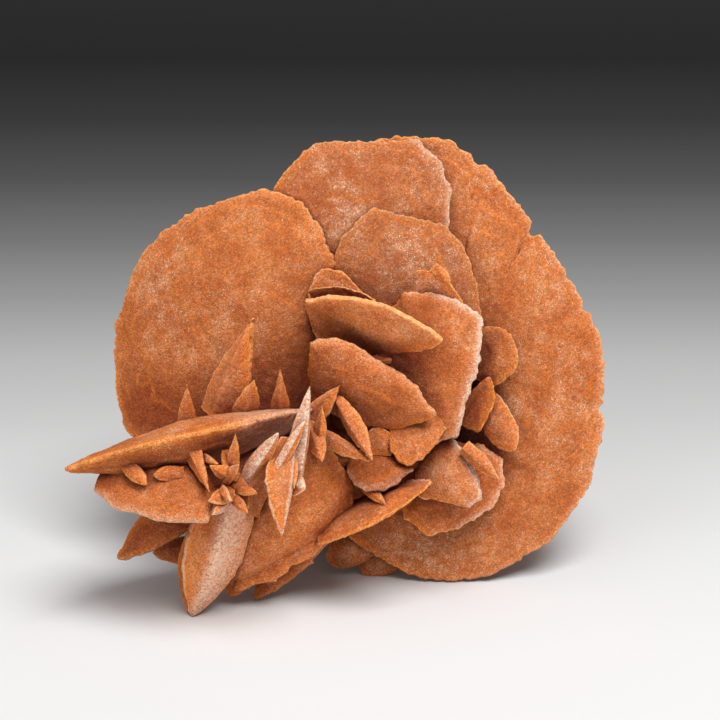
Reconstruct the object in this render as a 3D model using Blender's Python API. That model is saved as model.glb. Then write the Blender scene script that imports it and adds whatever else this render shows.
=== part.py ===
"""Gypsum sand rose (desert rose), about 105 mm wide: an aggregate of lens-shaped gypsum crystals.

Every crystal is a blade: an outline in its own plane, thick in the middle and thin at the rim.
Places are given in the rose's own frame, in millimetres: ACROSS to the right, UP along the big
back disc, OUT from its face. The frame leans back by LEAN, and its origin is on the floor where
the back disc rests. Where two crystals grow through each other, the later one in the lists is
trimmed against the earlier one, with a seam of GAP between them.
"""

import math

import bmesh
import bpy
import numpy as np
from mathutils import Matrix, Vector

MM = 0.001  # one millimetre in metres
LEAN = math.radians(20.0)  # the big disc leans back from upright
GAP = 0.3  # seam left between two crystals that grow through each other
CENTRE_ACROSS = 1.661  # from the rose frame's origin to the middle of the rose, sideways
CENTRE_DEPTH = 9.928  # the same, from front to back
FLOOR_DEPTH = 12.0  # depth of the block that wears the resting tips flat
FLOOR_SIDE = 200.0

# Lens section: half the thickness falls from the middle to the rim as a power of the distance out.
# Rings are shares of the outline, from the rim inward.
DISC_RINGS = (0.82, 0.5)
LEAF_RINGS = (0.6,)
DISC_POWER = 2.4
LEAF_POWER = 1.5
OUTLINE_POWER = 1.6
LEAF_STATIONS = (0.85, 0.62, 0.38, 0.16)  # shares of the length where the outline has points

# Surface colours of the sandy gypsum, in linear RGB
ORANGE = (0.58, 0.17, 0.05)
RUST = (0.42, 0.10, 0.025)
SAND = (0.62, 0.24, 0.10)
PALE = (0.70, 0.36, 0.22)

# Discs: name, centre (across, up, out), turn to the right and nod upward in degrees, thickness,
# rim thickness, colour, and radii anticlockwise from the right at even angles.
DISCS = (
    ("back_disc", (23, 44, 0), 0, 0, 10.0, 1.8, ORANGE,
     (31, 31, 30, 29.5, 30, 31, 33, 36.5, 40.5, 45, 46.5, 47.5, 50, 49, 44, 39, 36, 34,
      33, 33, 33, 34, 35.5, 37.5, 40.5, 42, 44, 44.5, 43.5, 42.5, 41, 39, 37.5, 34.5, 33, 31.5)),
    ("left_disc", (-21, 51.5, 5), -12, 0, 10.0, 1.8, ORANGE,
     (21, 23.5, 25.5, 27, 29, 28, 25.5, 24.5, 23.5, 23, 23, 23,
      24, 25, 27.5, 30, 30, 29, 28, 27, 26, 24, 21, 20)),
    ("crown_leaf", (6, 71.5, 6), 0, 4, 4.5, 1.4, SAND,
     (17, 18.5, 20, 20, 17, 17, 19, 19, 20,
      18, 17.5, 18.5, 20, 20, 19.5, 18.5, 17.5, 17)),
    ("middle_disc", (15.5, 56.5, 9.5), 0, 0, 6.5, 1.4, SAND,
     (13.5, 13.5, 14.5, 16, 16.5, 19.5, 19, 18.5,
      18, 18.5, 19.5, 19, 18.5, 18.5, 17.5, 15)),
    ("lower_disc", (-9, 15.5, 16), 0, -18, 9.0, 1.6, ORANGE,
     (12.5, 14.5, 15, 16, 14, 13, 11, 10, 10.5,
      12, 14.5, 20, 22, 12.5, 10, 9.5, 10, 11.5)),
    ("centre_lens", (5.5, 39.5, 22), -12, -22, 6.0, 1.6, RUST,
     (11, 8.5, 7, 6.5, 8.5, 11, 13.5, 11.5, 11, 9.5, 9, 8.5, 9, 10.5, 12, 15.5)),
    ("centre_plate", (19, 43.5, 16), -16, 0, 6.5, 1.8, ORANGE,
     (9.5, 11, 14, 14, 15, 15.5, 14, 11.5, 11.5, 12, 14, 16, 16, 15, 10.5, 9)),
    ("under_plate", (-33.5, 20, 30), -10, 25, 4.5, 1.4, ORANGE,
     (12.5, 10.5, 7, 7, 8, 12, 12, 8, 5.5, 6, 7.5, 13)),
    ("wedge_plate", (23, 21.5, 14), -12, 0, 4.5, 1.6, PALE,
     (5.5, 5, 6, 8, 8, 7.5, 7.5, 7.5, 5.5, 5.5, 7, 7.5)),
    ("round_disc", (24, 20, 7.5), 0, 0, 5.0, 1.4, RUST,
     (10, 11, 9.5, 8.5, 8, 9, 10.5, 12.5, 11.5, 9.5, 8, 8.5)),
    ("shelf_plate", (8.5, 23.5, 19), 0, 20, 3.5, 1.2, RUST,
     (7, 5, 4.5, 5.5, 6, 6.5, 6, 5, 4.5, 5)),
    ("rear_disc", (4, 43, -9), 10, -6, 10.0, 1.8, ORANGE,
     (24, 25, 27, 26, 24, 25, 28, 27, 25, 24, 26, 28, 30, 29, 26, 24)),
)

# Leaves: name, root and tip (across, up, out), roll of the face about the length in degrees,
# half widths left and right of the way from root to tip, widest place as a share of the length,
# root width as a share, point (1 sharp, 0.5 round), thickness, rim thickness, colour.
LEAVES = (
    ("long_lens", (-5, 33.8, 20), (-50.5, 23.5, 31), 102, 10, 18, 0.47, 0.55, 0.85, 10.0, 1.4, ORANGE),
    ("front_blade", (-20.5, 21, 23), (-28, -6, 13), -18, 7.6, 5, 0.45, 0.85, 0.85, 11.0, 1.6, PALE),
    ("upper_lens", (-5, 53.0, 17), (21, 48, 30), 48, 7.5, 7, 0.45, 0.6, 0.8, 4.0, 1.4, ORANGE),
    ("collar_plate", (3, 44, 12.5), (-2, 62.5, 13), -8, 5.5, 7, 0.5, 0.8, 0.5, 3.5, 1.4, SAND),
    ("rear_layer", (19, 44.5, 12), (16.5, 62.5, 12.5), -10, 7, 8, 0.5, 0.8, 0.5, 3.5, 1.4, SAND),
    ("apron_plate", (20, 37, 16.5), (13, 24.5, 21), 0, 4.5, 6.5, 0.5, 0.8, 0.5, 3.5, 1.4, ORANGE),
    ("lens_twin", (-4, 55.5, 15), (8.5, 56.2, 20.5), 48, 5, 4.5, 0.45, 0.8, 0.7, 2.2, 1.0, RUST),
    ("edge_blade", (-3, 11, 14), (19.5, 21.5, 22), -64, 6, 6, 0.5, 0.7, 0.8, 3.5, 1.2, ORANGE),
    ("low_plate", (0, 12, 10), (-16, -3, 8), 0, 2.5, 5, 0.5, 0.7, 0.6, 3.5, 1.2, RUST),
    ("side_blade", (-22.5, 17, 20), (-28, -5, 13), 45, 1.5, 6.5, 0.6, 0.6, 0.8, 4.0, 1.2, ORANGE),
    ("low_left_blade", (-26, 15, 12), (-42.5, 5.5, 8), 15, 2.5, 5.5, 0.55, 0.8, 0.9, 3.5, 1.2, RUST),
    ("low_left_leaf", (-25, 9, 8), (-36, 6.5, 5), 0, 3.5, 2, 0.5, 0.8, 0.8, 2.5, 1.0, RUST),
    ("tall_blade", (-21.8, 33.5, 18.5), (-15.2, 53.2, 22.5), -24, 5.0, 4.4, 0.15, 1.0, 1.0, 8.0, 0.9, ORANGE),
    ("right_leaf_upper", (27, 46, 9), (36, 44, 10.5), 0, 6.5, 6, 0.55, 0.8, 0.6, 4.0, 1.2, RUST),
    ("right_leaf_middle", (26, 31, 11), (30.5, 41.5, 12), 0, 2.5, 3, 0.5, 0.8, 0.6, 2.5, 1.0, RUST),
    ("right_leaf_lower", (28, 39, 8), (35.5, 26.5, 9), 0, 3.5, 3.5, 0.6, 0.8, 0.6, 3.5, 1.2, SAND),
    ("small_right_blade", (25, 28, 17), (32, 21.5, 18.5), 20, 1.9, 1.8, 0.4, 0.9, 0.9, 2.4, 0.8, SAND),
    ("small_round_leaf", (8.6, 26, 19.4), (8.6, 32, 20.6), 0, 3.0, 3.2, 0.55, 0.8, 0.5, 2.0, 0.9, SAND),
    ("pale_blade_long", (-7.5, 30, 30), (-9.3, 11.8, 36.5), -20, 1.2, 4.8, 0.42, 0.5, 0.95, 4.4, 0.9, PALE),
    ("pale_blade_upright", (-7, 22, 29), (-4.2, 40, 33), 30, 3.0, 1.5, 0.35, 0.9, 0.95, 3.6, 0.9, PALE),
    ("pale_blade_left", (-18, 20, 30), (-9.8, 31.2, 36), 20, 2.0, 2.2, 0.5, 0.95, 0.7, 3.4, 0.9, PALE),
    ("pale_blade_short", (-10.5, 24, 33), (-5, 33.5, 34.5), 10, 1.3, 1.3, 0.5, 0.9, 0.7, 2.4, 0.9, PALE),
    ("pale_leaf", (-9.5, 22.5, 30), (-5, 20.5, 33), 0, 2.2, 2.4, 0.6, 0.9, 0.8, 2.4, 0.9, PALE),
    ("blade_a", (-5.5, 33.5, 23), (1.5, 40, 26), -15, 1.2, 2.8, 0.4, 0.8, 0.95, 2.4, 0.8, SAND),
    ("blade_b", (0.5, 37.5, 24), (7.5, 25.5, 29), 20, 2.4, 1.6, 0.5, 0.35, 0.95, 3.0, 0.8, RUST),
    ("blade_c", (-3, 31.5, 24), (7, 25.5, 27.5), 0, 1.2, 2.2, 0.4, 0.7, 0.95, 2.6, 0.8, SAND),
    ("blade_e", (-4.5, 33, 26), (-2, 25.5, 30), 10, 2.0, 1.8, 0.6, 0.5, 0.8, 2.4, 0.8, ORANGE),
    ("spike_left", (-27.8, 31, 24), (-27.6, 40.3, 26.5), 0, 1.9, 1.9, 0.2, 1.0, 1.0, 3.0, 0.7, ORANGE),
    ("spike_middle", (-17, 32, 23), (-14.8, 41.0, 27), 0, 2.8, 2.4, 0.3, 1.0, 0.9, 3.4, 0.7, ORANGE),
    ("spike_right", (-10, 32, 23), (-10, 43.5, 27.5), 0, 2.0, 2.0, 0.2, 1.0, 1.0, 3.2, 0.7, RUST),
    ("nest_leaf_round", (-27.6, 23.6, 31), (-33.6, 23.2, 32.4), 0, 1.7, 1.5, 0.5, 0.8, 0.6, 2.4, 0.8, RUST),
    ("nest_blade_long", (-28.5, 32, 28), (-22.6, 19.8, 35.5), 20, 2.3, 2.3, 0.2, 0.95, 1.0, 3.6, 0.8, ORANGE),
    ("nest_spike", (-18.8, 22, 31.5), (-18, 31.2, 34.5), 0, 1.5, 1.4, 0.3, 1.0, 1.0, 2.6, 0.7, ORANGE),
    ("nest_leaf_low", (-19.5, 24, 31.5), (-16, 16, 33.5), 0, 2.4, 2.4, 0.5, 0.9, 0.9, 2.8, 0.9, RUST),
    ("nest_bed", (-12, 19, 21), (-30, 25, 25), 0, 6.5, 7.5, 0.5, 0.85, 0.6, 4.5, 1.4, RUST),
    ("foot_leaf_left", (10, 10, -2.2), (-1.5, 4.0, -2.6), 0, 4, 4.5, 0.6, 0.8, 0.5, 4.0, 1.0, SAND),
    ("foot_leaf_right", (15, 8, -3.2), (5.0, 1.5, -3.4), 0, 4, 4.5, 0.5, 0.8, 0.5, 4.0, 1.0, SAND),
    ("rear_foot_left", (-3, 38, -6), (-18, 8, -27), 35, 13, 12, 0.55, 0.7, 0.6, 8.0, 1.6, ORANGE),
    ("rear_foot_right", (9, 38, -6), (24, 8, -27), -35, 12, 13, 0.55, 0.7, 0.6, 8.0, 1.6, ORANGE),
    ("rear_shelf", (0, 38, -4), (8, 64, -30), 10, 18, 15, 0.55, 0.7, 0.6, 8.0, 1.6, SAND),
    ("rear_blade_left", (-4, 42, -4), (-35, 60, -17), -45, 13, 12, 0.5, 0.7, 0.7, 7.0, 1.4, RUST),
    ("rear_blade_right", (12, 40, -2), (43, 57, -16), 45, 12, 13, 0.5, 0.7, 0.7, 7.0, 1.4, RUST),
    ("rear_low_plate", (2, 36, -6), (3, 14, -34), 0, 14, 14, 0.5, 0.7, 0.65, 7.0, 1.4, SAND),
    ("inner_upright_left", (-4, 10, 7), (-3, 48, 9), 90, 9, 9, 0.5, 0.5, 0.7, 6.0, 1.4, RUST),
    ("inner_upright_right", (14, 23, 6), (14, 54, 8), 90, 8, 8, 0.5, 0.5, 0.7, 6.0, 1.4, RUST),
    ("inner_level", (-24, 24, 12), (26, 25, 6), 90, 8, 8, 0.45, 0.5, 0.7, 6.0, 1.4, RUST),
    ("inner_level_upper", (-4, 43, 9), (25, 46, 9), 90, 8, 8, 0.5, 0.6, 0.7, 5.0, 1.4, RUST),
    ("inner_slant_left", (-12, 17, 9), (-34, 14, 18), 75, 8, 7, 0.5, 0.6, 0.8, 5.0, 1.2, RUST),
)

# The order in which crystals are placed: each is trimmed against those before it.
FIRST = ("back_disc", "left_disc", "lower_disc", "long_lens", "front_blade", "centre_lens", "upper_lens")

ROUGHNESS = 0.85
SHARP = math.radians(35.0)  # steeper edges than this stay crisp
DISC_ROW = 8  # entries in a disc's row


def unit(vector):
    return np.asarray(vector, float) / np.linalg.norm(vector)


def disc_axes(turn, nod):
    """Right, up and face directions of a disc that is turned to the right and nods upward."""
    turn, nod = math.radians(turn), math.radians(nod)
    face = np.array([math.sin(turn) * math.cos(nod), math.sin(nod), math.cos(turn) * math.cos(nod)])
    right = np.array([math.cos(turn), 0.0, -math.sin(turn)])
    return right, np.cross(face, right), face


def leaf_axes(root, tip, roll):
    """Length, left and face directions of a leaf whose face is rolled about its length."""
    length = unit(np.subtract(tip, root))
    out = np.array([0.0, 0.0, 1.0])
    level = unit(out - length * (out @ length))
    roll = math.radians(roll)
    face = math.cos(roll) * level + math.sin(roll) * np.cross(length, level)
    return length, np.cross(face, length), face


def leaf_outline(length, left, right, belly, root_share, point):
    """Outline points of a leaf about its widest place, anticlockwise from the tip."""

    def width(share):
        if share <= belly:
            return 1 - (1 - root_share) * ((belly - share) / belly) ** 2
        return (1 - ((share - belly) / (1 - belly)) ** OUTLINE_POWER) ** point

    shares = LEAF_STATIONS + (0.0,)
    there = [((s - belly) * length, left * width(s)) for s in shares]
    back = [((s - belly) * length, -right * width(s)) for s in reversed(shares)]
    return np.array([((1 - belly) * length, 0.0)] + there + back)


def disc_outline(radii):
    angles = np.arange(len(radii)) * 2 * math.pi / len(radii)
    return np.stack([radii * np.cos(angles), radii * np.sin(angles)], 1)


def blade_shape(row):
    """Centre, axes, outline and section (thickness, rim, power, rings) of a blade from its row."""
    if len(row) == DISC_ROW:
        _, centre, turn, nod, thick, rim, _, radii = row
        outline = disc_outline(np.array(radii, float))
        return np.array(centre, float), disc_axes(turn, nod), outline, (thick, rim, DISC_POWER, DISC_RINGS)
    _, root, tip, roll, left, right, belly, root_share, point, thick, rim, _ = row
    axes = leaf_axes(root, tip, roll)
    length = np.linalg.norm(np.subtract(tip, root))
    centre = np.array(root, float) + axes[0] * belly * length
    outline = leaf_outline(length, left, right, belly, root_share, point)
    return centre, axes, outline, (thick, rim, LEAF_POWER, LEAF_RINGS)


def blade_mesh(name, outline, section, grow):
    """One closed lens. Its outline is extruded to the rim's thickness, then each side is drawn in
    and raised ring by ring, and closed with a low point in the middle."""
    thick, rim, power, rings = section
    reach = np.linalg.norm(outline, axis=1, keepdims=True)
    outline = outline * (1 + grow / reach) * MM
    bm = bmesh.new()
    under = bm.faces.new([bm.verts.new((x, y, -(rim / 2 + grow) * MM)) for x, y in outline])
    made = bmesh.ops.extrude_face_region(bm, geom=[under], use_keep_orig=True)["geom"]
    over = next(part for part in made if isinstance(part, bmesh.types.BMFace))
    bmesh.ops.translate(bm, verts=over.verts, vec=(0, 0, (rim + 2 * grow) * MM))
    for face, side in ((over, 1), (under, -1)):
        reached, height = 1.0, rim / 2
        for ring in rings:
            face = bmesh.ops.extrude_discrete_faces(bm, faces=[face])["faces"][0]
            raised = rim / 2 + (thick - rim) / 2 * (1 - ring**power)
            bmesh.ops.scale(bm, verts=face.verts, vec=(ring / reached, ring / reached, 1))
            bmesh.ops.translate(bm, verts=face.verts, vec=(0, 0, side * (raised - height) * MM))
            reached, height = ring, raised
        middle = bmesh.ops.poke(bm, faces=[face])["verts"][0]
        middle.co = Vector((0, 0, side * (thick / 2 + grow) * MM))
    bmesh.ops.recalc_face_normals(bm, faces=bm.faces)
    mesh = bpy.data.meshes.new(name)
    bm.to_mesh(mesh)
    bm.free()
    return mesh


def place_blade(name, row, rose, grow=0.0):
    """A blade as its own object, placed by location and rotation in the leaning rose frame."""
    centre, (along, aside, face), outline, section = blade_shape(row)
    blade = bpy.data.objects.new(name, blade_mesh(name, outline, section, grow))
    bpy.context.scene.collection.objects.link(blade)
    blade.parent = rose
    blade.location = Vector(centre * MM)
    blade.rotation_euler = Matrix((along, aside, face)).transposed().to_euler()
    return blade


def guide(thing):
    """Marks a cutter as a guide that is not part of the rose."""
    thing.hide_render = True
    thing.display_type = "WIRE"
    return thing


def corners(thing):
    """Lowest and highest corner of an object in world space."""
    points = np.array([thing.matrix_world @ vert.co for vert in thing.data.vertices])
    return points.min(0), points.max(0)


def boxes_meet(a, b):
    """Whether the bounding boxes of two objects come within GAP of each other."""
    (a_low, a_high), (b_low, b_high) = corners(a), corners(b)
    slack = GAP * MM
    return bool(np.all(a_low - slack < b_high) and np.all(b_low - slack < a_high))


def subtract(target, cutters):
    """Cuts each cutter out of the target and applies the result."""
    for cutter in cutters:
        cut = target.modifiers.new("Trim", "BOOLEAN")
        cut.operation = "DIFFERENCE"
        cut.solver = "EXACT"
        cut.object = cutter
        depsgraph = bpy.context.evaluated_depsgraph_get()
        result = bpy.data.meshes.new_from_object(target.evaluated_get(depsgraph))
        target.modifiers.clear()
        old, target.data = target.data, result
        bpy.data.meshes.remove(old)


def connected_parts(bm):
    """The mesh's connected pieces, each a set of vertices."""
    left = set(bm.verts)
    while left:
        todo = [left.pop()]
        part = set(todo)
        while todo:
            for edge in todo.pop().link_edges:
                fresh = left.intersection(edge.verts)
                left -= fresh
                part |= fresh
                todo.extend(fresh)
        yield part


def keep_largest(target):
    """Keeps only the largest connected piece of the mesh, so that a crystal stays one body."""
    bm = bmesh.new()
    bm.from_mesh(target.data)
    bmesh.ops.triangulate(bm, faces=bm.faces[:])
    parts = sorted(connected_parts(bm), key=island_volume)
    doomed = [vert for part in parts[:-1] for vert in part]
    bmesh.ops.delete(bm, geom=doomed, context="VERTS")
    bm.to_mesh(target.data)
    bm.free()


def island_volume(island):
    """Volume enclosed by one connected piece, from its triangles."""
    faces = {face for vert in island for face in vert.link_faces}
    total = 0.0
    for face in faces:
        a, b, c = (loop.vert.co for loop in face.loops)
        total += a.dot(b.cross(c)) / 6
    return abs(total)


def floor_block():
    """A block whose top is the floor. It wears the tips that rest on it flat."""
    bpy.ops.mesh.primitive_cube_add(size=1.0, location=(0, 0, -FLOOR_DEPTH / 2 * MM))
    block = bpy.context.active_object
    block.name = "floor_block"
    block.scale = (FLOOR_SIDE * MM, FLOOR_SIDE * MM, FLOOR_DEPTH * MM)
    bpy.ops.object.transform_apply(location=False, rotation=False, scale=True)
    return guide(block)


def leaning_frame():
    """An empty that carries the rose frame: across is +X, up leans back by LEAN, out faces -Y."""
    rose = bpy.data.objects.new("rose", None)
    bpy.context.scene.collection.objects.link(rose)
    rose.location = (-CENTRE_ACROSS * MM, -CENTRE_DEPTH * MM, 0)
    rose.rotation_euler = (math.pi / 2 - LEAN, 0, 0)
    return rose


def gypsum(name, colour):
    """A matte, sandy gypsum surface."""
    material = bpy.data.materials.new(name)
    material.use_nodes = True
    shader = material.node_tree.nodes["Principled BSDF"]
    shader.inputs["Base Color"].default_value = (*colour, 1.0)
    shader.inputs["Roughness"].default_value = ROUGHNESS
    shader.inputs["Metallic"].default_value = 0.0
    return material


def build():
    for old in list(bpy.data.objects):
        bpy.data.objects.remove(old, do_unlink=True)
    rows = {row[0]: row for row in DISCS + LEAVES}
    order = list(FIRST) + [name for name in rows if name not in FIRST]
    floor = floor_block()
    rose = leaning_frame()
    cutters = []
    for name in order:
        row = rows[name]
        blade = place_blade(name, row, rose)
        cutter = guide(place_blade("around_" + name, row, rose, GAP))
        bpy.context.view_layer.update()
        near = [other for other in cutters if boxes_meet(blade, other)]
        low, _ = corners(blade)
        subtract(blade, near + ([floor] if low[2] < 0 else []))
        keep_largest(blade)
        colour = row[6] if len(row) == DISC_ROW else row[11]
        blade.data.materials.clear()
        blade.data.materials.append(gypsum(name + "_gypsum", colour))
        blade.data.shade_smooth()
        blade.data.set_sharp_from_angle(angle=SHARP)
        cutters.append(cutter)
    for cutter in cutters + [floor]:
        bpy.data.objects.remove(cutter, do_unlink=True)


build()
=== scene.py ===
"""Gypsum sand rose: lens-shaped crystals grown through each other, crusted with sand.

Every crystal is a blade in its own plane. Places are in the rose's own frame, in millimetres:
ACROSS to the right, UP along the big back disc, OUT from its face. The frame leans back by LEAN
and its origin is on the floor where the back disc rests.
"""

import math

import bpy
import numpy as np
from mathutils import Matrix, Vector


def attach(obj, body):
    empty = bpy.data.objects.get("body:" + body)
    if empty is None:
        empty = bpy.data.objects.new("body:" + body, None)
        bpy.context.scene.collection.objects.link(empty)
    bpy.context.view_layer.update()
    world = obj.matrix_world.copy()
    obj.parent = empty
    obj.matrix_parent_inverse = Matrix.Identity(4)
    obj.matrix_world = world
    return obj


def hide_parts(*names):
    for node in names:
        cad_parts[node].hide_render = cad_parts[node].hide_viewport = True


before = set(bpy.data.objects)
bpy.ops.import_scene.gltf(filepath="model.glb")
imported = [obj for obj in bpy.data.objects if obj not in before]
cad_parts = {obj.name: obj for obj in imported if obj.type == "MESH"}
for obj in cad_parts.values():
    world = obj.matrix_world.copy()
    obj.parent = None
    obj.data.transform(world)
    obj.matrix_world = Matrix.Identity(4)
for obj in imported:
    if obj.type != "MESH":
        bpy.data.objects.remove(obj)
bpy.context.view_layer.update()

MM = 0.001  # one millimetre in metres
LEAN = math.radians(20.0)  # the big disc leans back from upright
CENTRE_ACROSS = 1.661  # from the rose frame's origin to the middle of the rose, sideways
CENTRE_DEPTH = 9.928  # the same, from front to back

ORANGE, RUST, SAND, PALE = "orange_gypsum", "rust_gypsum", "sandy_gypsum", "pale_gypsum"

# Discs: name, centre (across, up, out), turn to the right and nod upward in degrees, thickness,
# rim thickness, colour, and radii anticlockwise from the right at even angles.
DISCS = (
    ("back_disc", (23, 44, 0), 0, 0, 10.0, 1.8, ORANGE,
     (31, 31, 30, 29.5, 30, 31, 33, 36.5, 40.5, 45, 46.5, 47.5, 50, 49, 44, 39, 36, 34,
      33, 33, 33, 34, 35.5, 37.5, 40.5, 42, 44, 44.5, 43.5, 42.5, 41, 39, 37.5, 34.5, 33, 31.5)),
    ("left_disc", (-21, 51.5, 5), -12, 0, 10.0, 1.8, ORANGE,
     (21, 23.5, 25.5, 27, 29, 28, 25.5, 24.5, 23.5, 23, 23, 23,
      24, 25, 27.5, 30, 30, 29, 28, 27, 26, 24, 21, 20)),
    ("crown_leaf", (6, 71.5, 6), 0, 4, 4.5, 1.4, SAND,
     (17, 18.5, 20, 20, 17, 17, 19, 19, 20,
      18, 17.5, 18.5, 20, 20, 19.5, 18.5, 17.5, 17)),
    ("middle_disc", (15.5, 56.5, 9.5), 0, 0, 6.5, 1.4, SAND,
     (13.5, 13.5, 14.5, 16, 16.5, 19.5, 19, 18.5,
      18, 18.5, 19.5, 19, 18.5, 18.5, 17.5, 15)),
    ("lower_disc", (-9, 15.5, 16), 0, -18, 9.0, 1.6, ORANGE,
     (12.5, 14.5, 15, 16, 14, 13, 11, 10, 10.5,
      12, 14.5, 20, 22, 12.5, 10, 9.5, 10, 11.5)),
    ("centre_lens", (5.5, 39.5, 22), -12, -22, 6.0, 1.6, RUST,
     (11, 8.5, 7, 6.5, 8.5, 11, 13.5, 11.5, 11, 9.5, 9, 8.5, 9, 10.5, 12, 15.5)),
    ("centre_plate", (19, 43.5, 16), -16, 0, 6.5, 1.8, ORANGE,
     (9.5, 11, 14, 14, 15, 15.5, 14, 11.5, 11.5, 12, 14, 16, 16, 15, 10.5, 9)),
    ("under_plate", (-33.5, 20, 30), -10, 25, 4.5, 1.4, ORANGE,
     (12.5, 10.5, 7, 7, 8, 12, 12, 8, 5.5, 6, 7.5, 13)),
    ("wedge_plate", (23, 21.5, 14), -12, 0, 4.5, 1.6, PALE,
     (5.5, 5, 6, 8, 8, 7.5, 7.5, 7.5, 5.5, 5.5, 7, 7.5)),
    ("round_disc", (24, 20, 7.5), 0, 0, 5.0, 1.4, RUST,
     (10, 11, 9.5, 8.5, 8, 9, 10.5, 12.5, 11.5, 9.5, 8, 8.5)),
    ("shelf_plate", (8.5, 23.5, 19), 0, 20, 3.5, 1.2, RUST,
     (7, 5, 4.5, 5.5, 6, 6.5, 6, 5, 4.5, 5)),
    ("rear_disc", (4, 43, -9), 10, -6, 10.0, 1.8, ORANGE,
     (24, 25, 27, 26, 24, 25, 28, 27, 25, 24, 26, 28, 30, 29, 26, 24)),
)

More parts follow.
